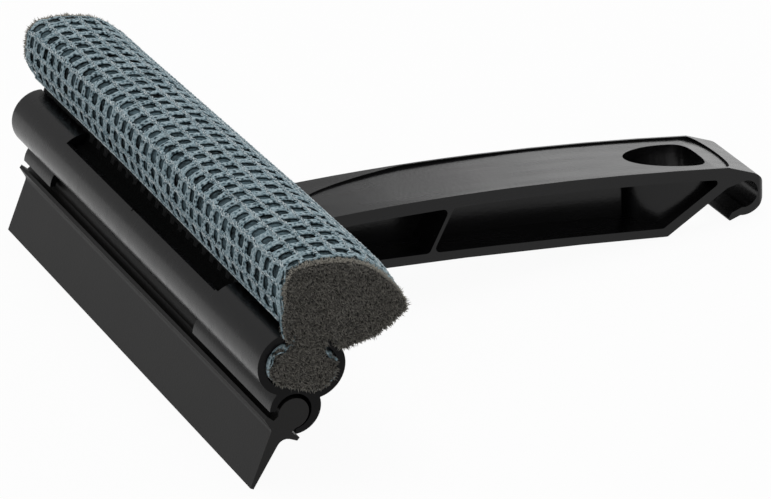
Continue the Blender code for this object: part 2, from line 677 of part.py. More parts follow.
def in_mouth(out, back):
    """A place given out of the blade channel's mouth and back across it, in the side view."""
    return tuple(blade_channel + out * out_of_mouth + back * mouth_back)


def lip_reach_across(turn):
    """Distance across the mouth to the inner corner of a lip at an angle from the mouth's middle."""
    along = BLADE_CAVITY_SHIFT * cos(turn)
    reach = along + sqrt(along ** 2 + blade_cavity_radius ** 2 - BLADE_CAVITY_SHIFT ** 2)
    return reach * abs(sin(turn))


front_lip_turn = radians(MOUTH_FRONT_ANGLE - BLADE_BAR_ANGLE)
half_stem = min(lip_reach_across(front_lip_turn), lip_reach_across(back_lip_turn)) - STEM_PLAY
rubber_bead_radius = blade_cavity_radius - BEAD_PLAY
bead_out = BLADE_CAVITY_SHIFT + BEAD_SAG
bead_middle = in_mouth(bead_out, BEAD_SET_BACK)
stem_turn = degrees(asin(half_stem / rubber_bead_radius))
rubber_bead = arc(bead_middle, rubber_bead_radius, BLADE_BAR_ANGLE - stem_turn, BLADE_BAR_ANGLE + stem_turn - 360.0,
                  2 * ARC_STEPS)

edge_front = edge_middle - half_edge * blade_back
edge_back = edge_middle + half_edge * blade_back


def under_bar(edge_point, root_offset):
    """Where a face of the blade, from its edge up to its root, meets the underside of the bar."""
    root_point = root_middle + root_offset * blade_back
    edge_out = float((edge_point - blade_channel) @ out_of_mouth)
    root_out = float((root_point - blade_channel) @ out_of_mouth)
    share = (bar_bottom - root_out) / (edge_out - root_out)
    return tuple(root_point + share * (edge_point - root_point))


barb_front = BARB_SHIFT - BARB_SPAN / 2
barb_back = BARB_SHIFT + BARB_SPAN / 2
barb_under = bar_top + BARB_TIP_THICKNESS
half_root = BLADE_ROOT_THICKNESS / 2
blade_corners = (
    corner_list(rubber_bead)
    + [(*in_mouth(bar_top, half_stem), 0), (*in_mouth(bar_top, barb_back), 0), (*in_mouth(barb_under, barb_back), 0)]
    + [(*under_bar(edge_back, half_root), BLADE_FILLET), (*edge_back, 0), (*edge_front, 0)]
    + [(*under_bar(edge_front, -half_root), BLADE_FILLET / 2), (*in_mouth(barb_under, barb_front), 0)]
    + [(*in_mouth(bar_top, barb_front), 0), (*in_mouth(bar_top, -half_stem), 0)]
)
blade = prism("rubber_blade", rounded(blade_corners), -half_length, half_length,
              origin=tuple(blade_channel), material=rubber)
shade(blade)
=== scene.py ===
from math import cos, pi, radians, sin

import bmesh
import bpy
import numpy as np
from mathutils import Matrix


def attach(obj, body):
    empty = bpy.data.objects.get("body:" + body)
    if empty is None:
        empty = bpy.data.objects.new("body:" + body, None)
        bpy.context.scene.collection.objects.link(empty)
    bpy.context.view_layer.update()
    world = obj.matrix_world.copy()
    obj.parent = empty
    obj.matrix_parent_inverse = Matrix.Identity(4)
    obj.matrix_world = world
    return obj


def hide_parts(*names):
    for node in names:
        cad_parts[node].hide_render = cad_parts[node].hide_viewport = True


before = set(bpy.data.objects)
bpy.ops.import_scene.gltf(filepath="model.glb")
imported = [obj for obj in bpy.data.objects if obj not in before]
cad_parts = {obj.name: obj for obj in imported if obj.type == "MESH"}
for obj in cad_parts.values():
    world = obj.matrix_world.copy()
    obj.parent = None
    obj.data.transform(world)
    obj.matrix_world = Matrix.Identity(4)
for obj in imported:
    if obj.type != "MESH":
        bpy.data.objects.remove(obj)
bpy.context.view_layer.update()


# Handle and channels: one injection moulding in black polypropylene, whose head is the scrubber's
# channel and the blade's channel. It is satin from the polished mould, with faint flow lines along
# the handle and edges that the mould leaves slightly rounded. The head's ends are sawn off.

PLASTIC_HEX = "#070707"
PLASTIC_WORN_HEX = "#0f0f11"
PLASTIC_IOR = 1.49
PLASTIC_ROUGHNESS = (0.20, 0.29)
MOULDED_SHINE = 0.28
SAWN_SHINE = 0.10
SAWN_FROM = (0.0997, 0.0999)
FLOW_LINES = (18.0, 260.0, 120.0)  # per metre: streaks 55 mm long and 4 to 8 mm apart
ORANGE_PEEL = 900.0                # per metre: dimples of 1.1 mm
EDGE_ROUND = 0.00030
SHARP_ANGLE = 34.0
FLAT_ANGLE = 0.6
WELD = 2e-6


def linear(hex_colour):
    """An sRGB hex colour as linear red, green, blue and alpha."""
    share = [int(hex_colour[i:i + 2], 16) / 255 for i in (1, 3, 5)]
    return [c / 12.92 if c <= 0.04045 else ((c + 0.055) / 1.055) ** 2.4 for c in share] + [1.0]


def plug(tree, node, inputs):
    """Gives each named socket of a node a value, or another node's output."""
    for socket, value in inputs.items():
        if isinstance(value, bpy.types.NodeSocket):
            tree.links.new(value, node.inputs[socket])
        else:
            node.inputs[socket].default_value = value


def add(tree, kind, inputs=None, **settings):
    """Adds a node: settings are its own options, inputs are what its sockets get."""
    node = tree.nodes.new(kind)
    for name, value in settings.items():
        setattr(node, name, value)
    plug(tree, node, inputs or {})
    return node


def new_material(name):
    """An empty material with its node tree and its principled shader."""
    material = bpy.data.materials.new(name)
    material.use_nodes = True
    return material, material.node_tree, material.node_tree.nodes["Principled BSDF"]


def black_polypropylene():
    """Moulded polypropylene: near black and satin. Its flow lines and a fine orange peel break up
    the light that lies on it, and the sawn ends of the head are dull."""
    material, tree, shader = new_material("black_polypropylene_moulded")
    place = add(tree, "ShaderNodeTexCoord")
    flow = add(tree, "ShaderNodeMapping", {"Vector": place.outputs["Object"], "Scale": FLOW_LINES})
    lines = add(tree, "ShaderNodeTexNoise", {
        "Vector": flow.outputs["Vector"], "Scale": 1.0, "Detail": 3.0})
    peel = add(tree, "ShaderNodeTexNoise", {
        "Vector": place.outputs["Object"], "Scale": ORANGE_PEEL, "Detail": 2.0})
    tone = add(tree, "ShaderNodeMix", {
        "Factor": lines.outputs["Fac"], "A": linear(PLASTIC_HEX), "B": linear(PLASTIC_WORN_HEX)},
        data_type='RGBA')
    gloss = add(tree, "ShaderNodeMapRange", {
        "Value": lines.outputs["Fac"], "From Min": 0.3, "From Max": 0.7,
        "To Min": PLASTIC_ROUGHNESS[0], "To Max": PLASTIC_ROUGHNESS[1]})
    bump = add(tree, "ShaderNodeBump", {
        "Height": peel.outputs["Fac"], "Strength": 0.08, "Distance": 0.0004})
    axes = add(tree, "ShaderNodeSeparateXYZ", {"Vector": place.outputs["Object"]})
    from_middle = add(tree, "ShaderNodeMath", {0: axes.outputs["Y"]}, operation='ABSOLUTE')
    shine = add(tree, "ShaderNodeMapRange", {
        "Value": from_middle.outputs["Value"], "From Min": SAWN_FROM[0], "From Max": SAWN_FROM[1],
        "To Min": MOULDED_SHINE, "To Max": SAWN_SHINE})
    plug(tree, shader, {
        "Base Color": tone.outputs["Result"], "Roughness": gloss.outputs["Result"],
        "Normal": bump.outputs["Normal"], "Specular IOR Level": shine.outputs["Result"],
        "IOR": PLASTIC_IOR})
    return material


def link_piece(name, mesh, material):
    """Puts a finished mesh into the scene as a piece, at the origin."""
    mesh.materials.clear()
    mesh.materials.append(material)
    piece = bpy.data.objects.new(name, mesh)
    bpy.context.scene.collection.objects.link(piece)
    return piece


def welded_mesh(node, name):
    """A node's loose triangles as one closed mesh: equal points are joined, and faces that lie
    level with each other are made one."""
    form = bmesh.new()
    form.from_mesh(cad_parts[node].data)
    bmesh.ops.remove_doubles(form, verts=form.verts, dist=WELD)
    bmesh.ops.dissolve_limit(form, angle_limit=radians(FLAT_ANGLE), verts=form.verts, edges=form.edges)
    mesh = bpy.data.meshes.new(name)
    form.to_mesh(mesh)
    form.free()
    mesh.shade_smooth()
    mesh.set_sharp_from_angle(angle=radians(SHARP_ANGLE))
    return mesh


moulding = link_piece("squeegee_moulding", welded_mesh("handle_and_channels", "squeegee_moulding"),
                      black_polypropylene())
edges = moulding.modifiers.new("moulded_edges", 'BEVEL')
edges.width = EDGE_ROUND
edges.segments = 2
edges.limit_method = 'ANGLE'
edges.angle_limit = radians(SHARP_ANGLE)
level_faces = moulding.modifiers.new("level_faces", 'WEIGHTED_NORMAL')
level_faces.keep_sharp = True
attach(moulding, "head")
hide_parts("handle_and_channels")


# Rubber blade: a strip of extruded black rubber with a sharp wiping edge, two thin barbs and a
# round bead that slides into the lower channel from the end. It is dull, with a faint brown bloom.

RUBBER_HEX = "#0f0f0f"
RUBBER_BLOOM_HEX = "#191817"
RUBBER_IOR = 1.52
RUBBER_ROUGHNESS = 0.5
RUBBER_SHINE = 0.22
BLOOM = 60.0           # per metre: patches of 17 mm, with finer ones in them
RUBBER_GRAIN = 1400.0  # per metre: grains of 0.7 mm, coarser than real ones, so that they show


def blade_rubber():
    """Extruded rubber: black and dull, so that light lies on it evenly, with a patchy brown bloom."""
    material, tree, shader = new_material("black_rubber_extruded")
    place = add(tree, "ShaderNodeTexCoord")
    bloom = add(tree, "ShaderNodeTexNoise", {
        "Vector": place.outputs["Object"], "Scale": BLOOM, "Detail": 5.0})
    grain = add(tree, "ShaderNodeTexNoise", {
        "Vector": place.outputs["Object"], "Scale": RUBBER_GRAIN, "Detail": 2.0})
    tone = add(tree, "ShaderNodeMix", {
        "Factor": bloom.outputs["Fac"], "A": linear(RUBBER_HEX), "B": linear(RUBBER_BLOOM_HEX)},
        data_type='RGBA')
    bump = add(tree, "ShaderNodeBump", {
        "Height": grain.outputs["Fac"], "Strength": 0.15, "Distance": 0.0002})
    plug(tree, shader, {
        "Base Color": tone.outputs["Result"], "Normal": bump.outputs["Normal"],
        "Roughness": RUBBER_ROUGHNESS, "IOR": RUBBER_IOR, "Specular IOR Level": RUBBER_SHINE})
    return material


blade = link_piece("rubber_wiping_blade", welded_mesh("rubber_blade", "rubber_wiping_blade"),
                   blade_rubber())
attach(blade, "blade")
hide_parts("rubber_blade")


# Scrubber foam: one length of grey open-cell foam, cut to a lopsided crown over a neck and a bead
# that fills the upper channel, pushed in from the end. It is a little longer than the head. Its
# places are given as up along the slot and back across it, from the channel's centre.

CHANNEL = (-0.09229, 0.03620)
SLOT_TILT = radians(66.8)
UPRIGHT = np.array([sin(SLOT_TILT), -cos(SLOT_TILT)])
BEAD_RADIUS = 0.0062
BEAD_HALF_SPREAD = 0.0044
NECK_FRONT = -0.0059
NECK_BACK = 0.0043
SEAT = 0.011625
FOAM_HEIGHT = 0.0229
FOAM_FRONT = 0.0144
FOAM_BACK = 0.0262
CROWN_SHARES = (
    (0.02, -0.68), (0.16, -0.855), (0.445, -0.97), (0.67, -1.00), (0.80, -0.84), (0.895, -0.50),
    (0.965, -0.10), (1.00, 0.23), (0.95, 0.46), (0.82, 0.72), (0.67, 0.91), (0.545, 1.00),
    (0.435, 0.985), (0.22, 0.86), (0.045, 0.72), (-0.045, 0.57), (-0.03, 0.42), (0.01, 0.27),
)
CROWN_BASE = (SEAT, SEAT + 0.004)
CROWN_MIDDLE = np.array([SEAT + 0.5 * FOAM_HEIGHT, 0.25 * FOAM_BACK])
CURVE_STEPS = 12
BEAD_STEPS = 30
OUTLINE_POINTS = 340
FOAM_ROWS = 79

NEAR_FACE = -0.1006
FAR_FACE = 0.1070
RIM_ROUND = ((0.0, 0.0), (0.00025, 0.0006), (0.0008, 0.0011), (0.0018, 0.0013))

SWELL = 0.0013
SWELL_WAY = np.array([0.86, 0.51])
SWELL_START = 0.085
SWELL_RUN = 0.120
SWELL_STOP = (-0.100, -0.084)
SWELL_BACK = (-0.006, 0.010)
SWELL_UP = (SEAT, SEAT + 0.008)

FRONT_EDGE = (-0.0100, -0.0062)
UNDERCUT = ((-0.1, 0.02, 0.1), (0.0003, 0.0018, 0.0018))
UNDERCUT_LOW = (0.0095, SEAT)
UNDERCUT_HIGH = (SEAT + 0.001, SEAT + 0.013)

SAG_FRONT = 0.0055
SAG_BACK = 0.0036
SAG_BACK_EDGE = -0.0004
SAG_LOW = (0.0035, 0.0090)
SAG_HIGH = (SEAT + 0.002, SEAT + 0.012)
SAG_ALONG = (-0.1006, -0.0990)
BACK_EDGE = (0.0042, 0.0064)
BACK_OUTER = (0.008, 0.016)

FAR_ROUND = 0.1035
FAR_DRAW = 0.02
HELD_END = 0.0992
HELD_SHARE = 0.95

FOAM_HEX = "#7d7b76"
# Dark grey for the painted shade in the foam's pores, and for the pile's uneven tone.
FOAM_DARK_HEX = "#2b2b29"
# Painted shade: bluish on the foam's long sides, seen through the net, and nearly black on its neck and
# bead.
FOAM_SHADE_HEX = "#5d7179"
FOAM_DEEP_SHADE_HEX = "#050606"
FOAM_ROUGHNESS = 0.95
FOAM_SHINE = 0.1
FOAM_PORES = 1500.0   # per metre: pores of 0.7 mm
FOAM_TUFTS = 700.0    # per metre: torn tufts of 1.4 mm
# Patches in the sides' painted shade, where it fades out towards the cut ends, and where the neck's
# painted shade starts below the crown.
SHADE_PATCHES = 110.0   # per metre: patches of 9 mm in the painted shade
SHADE_NEAR = 0.0022
SHADE_FAR = (0.0035, 0.0010)
NECK_SHADE = (SEAT, SEAT + 0.002)


def smooth_run(points, steps):
    """A smooth curve through points: cubic stretches whose slope at a point is half the step
    between its two neighbours."""
    given = np.array(points)
    ends = np.vstack([2 * given[0] - given[1], given, 2 * given[-1] - given[-2]])
    a, b, c, d = (ends[i:len(ends) - 3 + i, None, :] for i in range(4))
    t = np.linspace(0.0, 1.0, steps, endpoint=False)[None, :, None]
    square, cube = a - 2.5 * b + 2 * c - d / 2, 1.5 * (b - c) + (d - a) / 2
    line = b + (c - a) / 2 * t + square * t ** 2 + cube * t ** 3
    return np.vstack([line.reshape(-1, 2), given[-1:]])


def cut_length(line):
    """Length of a line."""
    return float(np.linalg.norm(np.diff(line, axis=0), axis=1).sum())


def spaced(line, count):
    """The same line with evenly spaced points."""
    run = np.concatenate([[0.0], np.cumsum(np.linalg.norm(np.diff(line, axis=0), axis=1))])
    at = np.linspace(0.0, run[-1], count)
    return np.column_stack([np.interp(at, run, line[:, i]) for i in (0, 1)])


def outward(line, closed=False):
    """Unit vectors across a line to its outer side, from the step between each point's two
    neighbours."""
    step = np.roll(line, -1, axis=0) - np.roll(line, 1, axis=0) if closed else np.gradient(line, axis=0)
    step /= np.linalg.norm(step, axis=1)[:, None]
    return np.column_stack([step[:, 1], -step[:, 0]])


def ease(value, low, high):
    """A smooth step from 0 at low to 1 at high."""
    t = np.clip((value - low) / (high - low), 0.0, 1.0)
    return t * t * (3 - 2 * t)


def crown_line():
    """The crown from the front of the neck over to its back: a smooth run through its shares of
    the foam's height and of its reach to the front and to the back."""
    table = np.array(CROWN_SHARES)
    reach = np.where(table[:, 1] < 0, FOAM_FRONT, FOAM_BACK)
    inner = np.column_stack([SEAT + table[:, 0] * FOAM_HEIGHT, table[:, 1] * reach])
    return smooth_run(np.vstack([[SEAT, NECK_FRONT], inner, [SEAT, NECK_BACK]]), CURVE_STEPS)


def bead_line():
    """The bead from the back of the neck round under to its front: two arcs joined by a flat
    bottom."""
    back_start = np.arccos((NECK_BACK - BEAD_HALF_SPREAD) / BEAD_RADIUS)
    front_start = np.arccos((NECK_FRONT + BEAD_HALF_SPREAD) / BEAD_RADIUS) - 2 * pi
    turns = (np.linspace(back_start, -pi / 2, BEAD_STEPS),
             np.linspace(-pi / 2, front_start, BEAD_STEPS))
    return np.vstack([
        np.column_stack([BEAD_RADIUS * np.sin(turn), centre + BEAD_RADIUS * np.cos(turn)])
        for turn, centre in zip(turns, (BEAD_HALF_SPREAD, -BEAD_HALF_SPREAD))])


def swelling(up, back, y):
    """How far the crown's upper back stands out: a share that grows from the far end to the near
    end, and that is nothing at the neck, at the front and at the very end."""
    along = np.clip((SWELL_START - y) / SWELL_RUN, 0.0, 1.0) * ease(y, *SWELL_STOP)
    return SWELL * (along * ease(back, *SWELL_BACK) * ease(up, *SWELL_UP))


def undercut(up, back, y):
    """How much higher the crown's lower front edge is cut: least at the near end."""
    front = 1 - ease(back, *FRONT_EDGE)
    return np.interp(y, *UNDERCUT) * front * ease(up, *UNDERCUT_LOW) * (1 - ease(up, *UNDERCUT_HIGH))


def sagging(up, back, y):
    """How far the crown's two lower edges hang past the near end of the channel, where nothing
    holds them up: the front one by one depth, the back one by a depth that fades outwards."""
    low = ease(up, *SAG_LOW) * (1 - ease(up, *SAG_HIGH)) * (1 - ease(y, *SAG_ALONG))
    at_back = SAG_BACK + (SAG_BACK_EDGE - SAG_BACK) * ease(back, *BACK_OUTER)
    return low * (SAG_FRONT * (1 - ease(back, *FRONT_EDGE)) + ease(back, *BACK_EDGE) * at_back)


def shaped(up_back, y):
    """Places on the foam's outline moved by all that bends it: the swelling goes up and back, the
    undercut up, the sagging straight down. Over its last few millimetres at the far end the crown
    is drawn in towards its middle, along a quarter circle."""
    up, back = up_back[..., 0], up_back[..., 1]
    past = np.clip((y - FAR_ROUND) / (FAR_FACE - FAR_ROUND), 0.0, 1.0)
    drawn = FAR_DRAW * (1 - np.sqrt(1 - past ** 2)) * ease(up, *CROWN_BASE)
    return (up_back + swelling(up, back, y)[..., None] * SWELL_WAY
            + undercut(up, back, y)[..., None] * np.array([1.0, 0.0])
            - sagging(up, back, y)[..., None] * UPRIGHT
            + drawn[..., None] * (CROWN_MIDDLE - up_back))


def held_back(up, y):
    """Past the far end of the channel only the crown goes on at its full length. The neck and the
    bead are pressed together there to a small share of it."""
    return y - HELD_SHARE * np.maximum(y - HELD_END, 0.0) * (1 - ease(up, *CROWN_BASE))


def to_frame(up_back, y):
    """Places in the slot's own directions as X, Y and Z: both are turned by the slot's tilt."""
    up, back = up_back[..., 0], up_back[..., 1]
    x = CHANNEL[0] + up * cos(SLOT_TILT) + back * sin(SLOT_TILT)
    z = CHANNEL[1] + up * sin(SLOT_TILT) - back * cos(SLOT_TILT)
    return np.stack(np.broadcast_arrays(x, y, z), axis=-1)


def mesh_from(name, points, faces):
    """A smooth mesh from rows of points and a list of faces' corners."""
    mesh = bpy.data.meshes.new(name)
    mesh.from_pydata(points.reshape(-1, 3).tolist(), [], faces)
    mesh.shade_smooth()
    return mesh


def mark(mesh, name, values):
    """Keeps a number for each point of a mesh, for a material to read."""
    layer = mesh.attributes.new(name, 'FLOAT', 'POINT')
    layer.data.foreach_set("value", values.ravel().astype(np.float32))


def grid_faces(rows, columns):
    """Corners of the faces between the points of a grid whose last column joins its first."""
    ahead = np.arange(columns)
    start = np.arange(rows - 1)[:, None] * columns
    here, beside = start + ahead, start + (ahead + 1) % columns
    return np.stack([here, beside, beside + columns, here + columns], axis=-1).reshape(-1, 4)


foam_line = np.vstack([crown_line(), bead_line()])
foam_outline = spaced(foam_line, OUTLINE_POINTS + 1)[:-1]
foam_side = outward(foam_outline, closed=True)


def foam_mesh():
    """The outline carried along the head. At each end it is drawn in by the rim's rounding. The
    near end is closed by one face, the far end by one across the crown and one across the neck
    and the bead."""
    insets, past = np.array(RIM_ROUND).T
    inset = np.concatenate([insets[::-1], np.zeros(FOAM_ROWS), insets])
    between = np.linspace(NEAR_FACE, FAR_FACE, FOAM_ROWS + 2)[1:-1]
    y = np.concatenate([NEAR_FACE - past[::-1], between, FAR_FACE + past])[:, None]
    outlines = foam_outline - inset[:, None, None] * foam_side
    up = foam_outline[:, 0]
    rows = to_frame(shaped(outlines, np.clip(y, NEAR_FACE, FAR_FACE)), held_back(up, y))

    last = (len(rows) - 1) * OUTLINE_POINTS
    neck = last + round(OUTLINE_POINTS * cut_length(crown_line()) / cut_length(foam_line))
    faces = grid_faces(len(rows), OUTLINE_POINTS).tolist()
    faces += [list(range(OUTLINE_POINTS))[::-1], list(range(last, neck + 1)),
              [last] + list(range(neck, last + OUTLINE_POINTS))]
    mesh = mesh_from("scrubber_foam", rows, faces)
    # Painted shade: 1 along the long sides, falling to 0 over the cut ends; below the crown the neck
    # and the bead get a near black painted shade.
    shaded_side = ease(y, NEAR_FACE, NEAR_FACE + SHADE_NEAR)
    shaded_side = shaded_side * (1 - ease(y, FAR_FACE - SHADE_FAR[0], FAR_FACE - SHADE_FAR[1]))
    mark(mesh, "shaded_side", np.broadcast_to(shaded_side, rows.shape[:2]))
    mark(mesh, "shaded_neck", np.broadcast_to(1 - ease(up, *NECK_SHADE), rows.shape[:2]))
    form = bmesh.new()
    form.from_mesh(mesh)
    bmesh.ops.recalc_face_normals(form, faces=form.faces)
    form.to_mesh(mesh)
    form.free()
    return mesh


def cut_foam():
    """Open-cell foam: its pores carry painted shade in their depths and are lighter along their walls,
    which gives a soft mottled grey without a shine. Its long sides carry a bluish painted shade,
    uneven in patches, for the shade under the net, and the neck and the bead carry a painted shade
    that is nearly black."""
    material, tree, shader = new_material("grey_open_cell_foam")
    place = add(tree, "ShaderNodeTexCoord")
    shaded_side = add(tree, "ShaderNodeAttribute", attribute_name="shaded_side")
    shaded_neck = add(tree, "ShaderNodeAttribute", attribute_name="shaded_neck")
    pores = add(tree, "ShaderNodeTexVoronoi", {
        "Vector": place.outputs["Object"], "Scale": FOAM_PORES}, feature='F1')
    tufts = add(tree, "ShaderNodeTexNoise", {
        "Vector": place.outputs["Object"], "Scale": FOAM_TUFTS, "Detail": 4.0})
    # Painted shade in the depths of the pores, lighter along their walls.
    depth = add(tree, "ShaderNodeMath", {
        0: pores.outputs["Distance"], 1: tufts.outputs["Fac"]}, operation='MULTIPLY')
    tone = add(tree, "ShaderNodeMapRange", {
        "Value": depth.outputs["Value"], "From Min": 0.05, "From Max": 0.42})
    cut = add(tree, "ShaderNodeMix", {
        "Factor": tone.outputs["Result"], "A": linear(FOAM_HEX), "B": linear(FOAM_DARK_HEX)},
        data_type='RGBA')
    # The sides' painted shade, bluish and mottled in patches, and the near black painted shade on the
    # neck and the bead.
    patches = add(tree, "ShaderNodeTexNoise", {
        "Vector": place.outputs["Object"], "Scale": SHADE_PATCHES, "Detail": 1.0})
    both = add(tree, "ShaderNodeMath", {
        0: tufts.outputs["Fac"], 1: patches.outputs["Fac"]}, operation='ADD')
    shade_patchiness = add(tree, "ShaderNodeMapRange", {
        "Value": both.outputs["Value"], "From Min": 0.75, "From Max": 1.25})
    mottle = add(tree, "ShaderNodeMix", {
        "Factor": shade_patchiness.outputs["Result"], "A": linear(FOAM_DEEP_SHADE_HEX), "B": linear(FOAM_SHADE_HEX)},
        data_type='RGBA')
    side = add(tree, "ShaderNodeMix", {
        "Factor": shaded_neck.outputs["Fac"], "A": mottle.outputs["Result"], "B": linear(FOAM_DEEP_SHADE_HEX)},
        data_type='RGBA')
    colour = add(tree, "ShaderNodeMix", {
        "Factor": shaded_side.outputs["Fac"], "A": cut.outputs["Result"], "B": side.outputs["Result"]},
        data_type='RGBA')
    bump = add(tree, "ShaderNodeBump", {
        "Height": depth.outputs["Value"], "Strength": 0.8, "Distance": 0.0005})
    plug(tree, shader, {
        "Base Color": colour.outputs["Result"], "Normal": bump.outputs["Normal"],
        "Roughness": FOAM_ROUGHNESS, "Specular IOR Level": FOAM_SHINE})
    return material


foam = link_piece("scrubber_foam", foam_mesh(), cut_foam())
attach(foam, "scrubber")
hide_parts("foam_scrubber")


# Pile: torn cell walls that stand off the foam's cut ends and rims as short soft spikes. They are
# the foam itself, left by the saw that cut it to length. Their tips carry painted light, for the
# light that comes through the thin foam.

PILE_COUNT = 6500
PILE_RADIUS = 0.00023
PILE_LENGTH = (0.0007, 0.0018)
PILE_SPREAD = 0.55
PILE_DROOP = -0.22
PILE_BEND = 0.25
# Painted light along each spike towards its tip.
TIP_PAINTED_LIGHT = (0.1, 1.0)
PILE_INSET = 0.0004
ROOT_DEPTH = 0.0002
MIDDLE_REACH = 0.55
MIDDLE_BEND = 0.3
MIDDLE_RADIUS = 0.7
RIM_COUNT = 2600
RIM_LENGTH = (0.0006, 0.0015)
RIM_SPREAD = 0.35
RIM_LEAN = (0.5, -0.1)
RIM_INSET = 0.0003
RIM_DEPTH = (-0.0016, 0.0009)
# Painted light on the rim's spikes, growing with height.
RIM_PAINTED_LIGHT = 0.9
RIM_PAINTED_LIGHT_UP = (0.008, 0.024)
PILE_PAINTED_LIGHT_HEX = "#aeaaa1"
PILE_UNEVEN = 1100.0  # per metre: patches of 0.9 mm, so that spikes differ from their neighbours
PILE_ENDS = (("foam_pile_near", NEAR_FACE, -1.0, -0.010, 11),
             ("foam_pile_far", FAR_FACE, 1.0, 0.0162, 12))


def inside(points, outline):
    """Whether points lie in a closed outline: a ray from each crosses its sides an odd number of
    times."""
    a, b = outline, np.roll(outline, -1, axis=0)
    px, py = points[:, :1], points[:, 1:]
    across = (a[:, 1] > py) != (b[:, 1] > py)
    with np.errstate(divide="ignore", invalid="ignore"):
        cut = a[:, 0] + (py - a[:, 1]) * (b[:, 0] - a[:, 0]) / (b[:, 1] - a[:, 1])
    return (across & (px < cut)).sum(axis=1) % 2 == 1


def spikes(name, roots, ways, lengths, light, chance):
    """Each spike is a three-sided cone in two lengths that bends: a triangle, a smaller one and a
    tip. Light is how much painted light each one carries over its whole length."""
    count = len(roots)
    ways = ways / np.linalg.norm(ways, axis=1)[:, None]
    level = np.cross(ways, chance.normal(size=(count, 3)))
    level /= np.linalg.norm(level, axis=1)[:, None]
    other = np.cross(ways, level)
    turn = (np.arange(3) * 2 * pi / 3)[None, :, None]
    ring = np.cos(turn) * level[:, None] + np.sin(turn) * other[:, None]
    reach = lengths[:, None, None]
    bend = chance.normal(0.0, PILE_BEND, (count, 1, 3)) * reach
    low = roots[:, None] + PILE_RADIUS * ring
    middle = (roots[:, None] + MIDDLE_REACH * reach * ways[:, None] + MIDDLE_BEND * bend
              + MIDDLE_RADIUS * PILE_RADIUS * ring)
    tip = roots[:, None] + reach * ways[:, None] + bend
    points = np.concatenate([low, middle, tip], axis=1)
    each = points.shape[1]
    base = np.arange(count)[:, None, None] * each
    quads = (base + np.array([[0, 1, 4, 3], [1, 2, 5, 4], [2, 0, 3, 5]])).reshape(-1, 4)
    tris = (base + np.array([[3, 4, 6], [4, 5, 6], [5, 3, 6], [2, 1, 0]])).reshape(-1, 3)
    mesh = mesh_from(name, points, quads.tolist() + tris.tolist())
    # Painted light, growing towards each tip.
    along_spike = np.tile([0.0, 0.0, 0.0, 0.5, 0.5, 0.5, 1.0], count)
    lighter = np.repeat(chance.uniform(*TIP_PAINTED_LIGHT, count), each)
    mark(mesh, "tip", along_spike * lighter + np.repeat(light, each))
    return mesh


def pile_mesh(name, face, side, lowest, seed):
    """Spikes on one cut end above a height, scattered over the face and more closely round its
    rim, leaning down a little. Those on the rim carry more painted light, more of it higher up,
    for light that comes through them."""
    chance = np.random.default_rng(seed)
    low, high = foam_outline.min(axis=0), foam_outline.max(axis=0)
    tries = chance.uniform(low, high, (PILE_COUNT * 3, 2))
    held = inside(tries, foam_outline - PILE_INSET * foam_side) & (tries[:, 0] > lowest)
    places = tries[held][:PILE_COUNT]
    roots = to_frame(shaped(places, face), face + side * (RIM_ROUND[-1][1] - ROOT_DEPTH))
    ways = chance.normal(0.0, PILE_SPREAD, (len(roots), 3)) + np.array([0.0, side, PILE_DROOP])
    lengths = chance.uniform(*PILE_LENGTH, len(roots))

    pick = chance.choice(np.flatnonzero(foam_outline[:, 0] > lowest), RIM_COUNT)
    rim = foam_outline[pick] - RIM_INSET * foam_side[pick]
    rim_roots = to_frame(shaped(rim, face), face + side * chance.uniform(*RIM_DEPTH, RIM_COUNT))
    radial = to_frame(foam_side[pick], 0.0) - to_frame(np.zeros(2), 0.0)
    rim_ways = (radial + chance.normal(0.0, RIM_SPREAD, (RIM_COUNT, 3))
                + np.array([0.0, RIM_LEAN[0] * side, RIM_LEAN[1]]))
    rim_lengths = chance.uniform(*RIM_LENGTH, RIM_COUNT)
    light = np.concatenate([np.zeros(len(roots)), RIM_PAINTED_LIGHT * ease(rim[:, 0], *RIM_PAINTED_LIGHT_UP)])
    return spikes(name, np.vstack([roots, rim_roots]), np.vstack([ways, rim_ways]),
                  np.concatenate([lengths, rim_lengths]), light, chance)


def foam_pile():
    """Torn foam: the foam's grey, uneven from spike to spike, with painted light where the thin tips
    let light through, which gives the end a pale fuzzy rim."""
    material, tree, shader = new_material("grey_foam_pile")
    place = add(tree, "ShaderNodeTexCoord")
    tip = add(tree, "ShaderNodeAttribute", attribute_name="tip")
    uneven = add(tree, "ShaderNodeTexNoise", {
        "Vector": place.outputs["Object"], "Scale": PILE_UNEVEN, "Detail": 2.0})
    grey = add(tree, "ShaderNodeMix", {
        "Factor": uneven.outputs["Fac"], "A": linear(FOAM_DARK_HEX), "B": linear(FOAM_HEX)},
        data_type='RGBA')
    # Painted light on the tips and the rim.
    colour = add(tree, "ShaderNodeMix", {
        "Factor": tip.outputs["Fac"], "A": grey.outputs["Result"], "B": linear(PILE_PAINTED_LIGHT_HEX)},
        data_type='RGBA')
    plug(tree, shader, {
        "Base Color": colour.outputs["Result"],
        "Roughness": FOAM_ROUGHNESS, "Specular IOR Level": FOAM_SHINE})
    return material


pile = foam_pile()
for name, face, side, lowest, seed in PILE_ENDS:
    torn_end = link_piece(name, pile_mesh(name, face, side, lowest, seed), pile)
    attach(torn_end, "scrubber")


# Net: a knitted sleeve of blue-grey polyester yarn, stretched over the foam. Its gaps lie in
# columns round the girth, each set back a fifth of a gap against the last. It is tucked into the
# slot on both sides, goes round the bead near the ends, and its ends are simply cut.

YARN_HEX = "#6e8791"
# The ramp's light end is painted light where the yarn stands up and its dark end painted shade in the
# pores; the twist's uneven tone runs along it too.
YARN_LIGHT_HEX = "#b3c6cd"
YARN_DARK_HEX = "#1d2b32"
